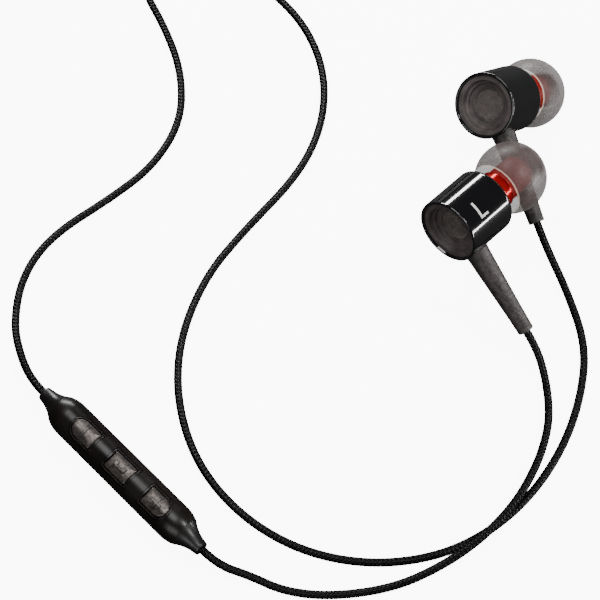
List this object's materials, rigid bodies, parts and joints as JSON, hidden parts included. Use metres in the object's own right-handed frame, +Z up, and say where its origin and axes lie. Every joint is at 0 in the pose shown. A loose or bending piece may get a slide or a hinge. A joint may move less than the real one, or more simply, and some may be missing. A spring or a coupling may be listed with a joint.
{
  "type": "wired earphones",
  "caption": "Wired in-ear earphones with cylindrical buds, soft tips, an inline button remote with microphone, braided cords, a Y splitter and a straight audio plug.",
  "frame": {"origin": "on the table, under the middle of the box round the two buds and the remote", "axes": "+Z up from the table, +Y away from the viewer towards the plug, +X to the right"},
  "size_m": [0.1039, 0.1866, 0.0264],
  "materials": {
    "barrel_lacquer": "gloss black lacquer over turned aluminium",
    "cap_charcoal": "matte charcoal moulding",
    "vent_mesh": "fine woven mesh, blackened",
    "nozzle_red": "glossy red anodised",
    "screen_steel": "fine woven mesh",
    "damper_foam": "open foam",
    "eartip_silicone": "smoky translucent silicone",
    "stem_rubber": "fine spark-textured dark grey",
    "driver_plastic": "moulded",
    "driver_steel": "zinc plated steel",
    "magnet_nickel": "nickel plated magnet",
    "coil_copper": "enamelled copper wire",
    "diaphragm_film": "thin polymer film",
    "button_charcoal": "mottled metallic charcoal paint",
    "remote_housing": "satin black-brown moulding",
    "remote_boot": "satin black-brown moulded rubber",
    "board_laminate": "green solder mask",
    "switch_steel": "pressed steel",
    "microphone_can": "pressed can",
    "lead_housing": "gloss black moulding",
    "lead_rubber": "matte black",
    "plug_contact": "gold plated brass",
    "plug_insulator": "moulded",
    "tie_fabric": "hook and loop tape",
    "cord_braid": "black braided sleeve with grey flecks"
  },
  "bodies": {
    "set": {"coil_tie": "tie_fabric", "lead_coil": "cord_braid", "lead_in": "cord_braid", "lead_out": "cord_braid", "left_barrel": "barrel_lacquer", "left_bezel": "cap_charcoal", "left_cord_lower": "cord_braid", "left_cord_upper": "cord_braid", "left_diaphragm": "diaphragm_film", "left_driver_frame": "driver_plastic", "left_driver_magnet": "magnet_nickel", "left_driver_top_plate": "driver_steel", "left_driver_yoke": "driver_steel", "left_nozzle": "nozzle_red", "left_nozzle_damper": "damper_foam", "left_nozzle_screen": "screen_steel", "left_rear_cap": "cap_charcoal", "left_stem": "stem_rubber", "left_vent_mesh": "vent_mesh", "left_voice_coil": "coil_copper", "plug_boot": "lead_rubber", "plug_handle": "lead_housing", "plug_insulator": "plug_insulator", "plug_ring_contact_1": "plug_contact", "plug_ring_contact_2": "plug_contact", "plug_sleeve_contact": "plug_contact", "plug_tip_contact": "plug_contact", "remote_board": "board_laminate", "remote_bottom_housing": "remote_housing", "remote_lower_boot": "remote_boot", "remote_microphone": "microphone_can", "remote_switches": "switch_steel", "remote_top_housing": "remote_housing", "remote_upper_boot": "remote_boot", "right_barrel": "barrel_lacquer", "right_bezel": "cap_charcoal", "right_cord": "cord_braid", "right_diaphragm": "diaphragm_film", "right_driver_frame": "driver_plastic", "right_driver_magnet": "magnet_nickel", "right_driver_top_plate": "driver_steel", "right_driver_yoke": "driver_steel", "right_nozzle": "nozzle_red", "right_nozzle_damper": "damper_foam", "right_nozzle_screen": "screen_steel", "right_rear_cap": "cap_charcoal", "right_stem": "stem_rubber", "right_vent_mesh": "vent_mesh", "right_voice_coil": "coil_copper", "splitter_boot": "lead_rubber", "splitter_sleeve": "lead_housing"},
    "key_minus": {"remote_button_minus": "button_charcoal"},
    "key_centre": {"remote_button_centre": "button_charcoal"},
    "key_plus": {"remote_button_plus": "button_charcoal"},
    "left_tip": {"left_eartip": "eartip_silicone"},
    "right_tip": {"right_eartip": "eartip_silicone"}
  },
  "joints": [
    {"name": "press_minus", "type": "slide", "parent": "set", "child": "key_minus", "axis": [0.1503, 0.1436, -0.9781], "range_m": [0, 0.0003], "stiffness_N_per_m": 2000, "springref_m": -0.0002},
    {"name": "press_centre", "type": "slide", "parent": "set", "child": "key_centre", "axis": [0.1503, 0.1436, -0.9781], "range_m": [0, 0.0003], "stiffness_N_per_m": 2000, "springref_m": -0.0002},
    {"name": "press_plus", "type": "slide", "parent": "set", "child": "key_plus", "axis": [0.1503, 0.1436, -0.9781], "range_m": [0, 0.0003], "stiffness_N_per_m": 2000, "springref_m": -0.0002},
    {"name": "left_tip_twist", "type": "hinge", "parent": "set", "child": "left_tip", "pos_m": [0.03477, 0.01657, 0.01726], "axis": [0.6544, 0.7294, -0.1994], "continuous": true},
    {"name": "right_tip_twist", "type": "hinge", "parent": "set", "child": "right_tip", "pos_m": [0.04041, 0.04152, 0.00783], "axis": [0.5383, 0.5574, -0.632], "continuous": true}
  ]
}
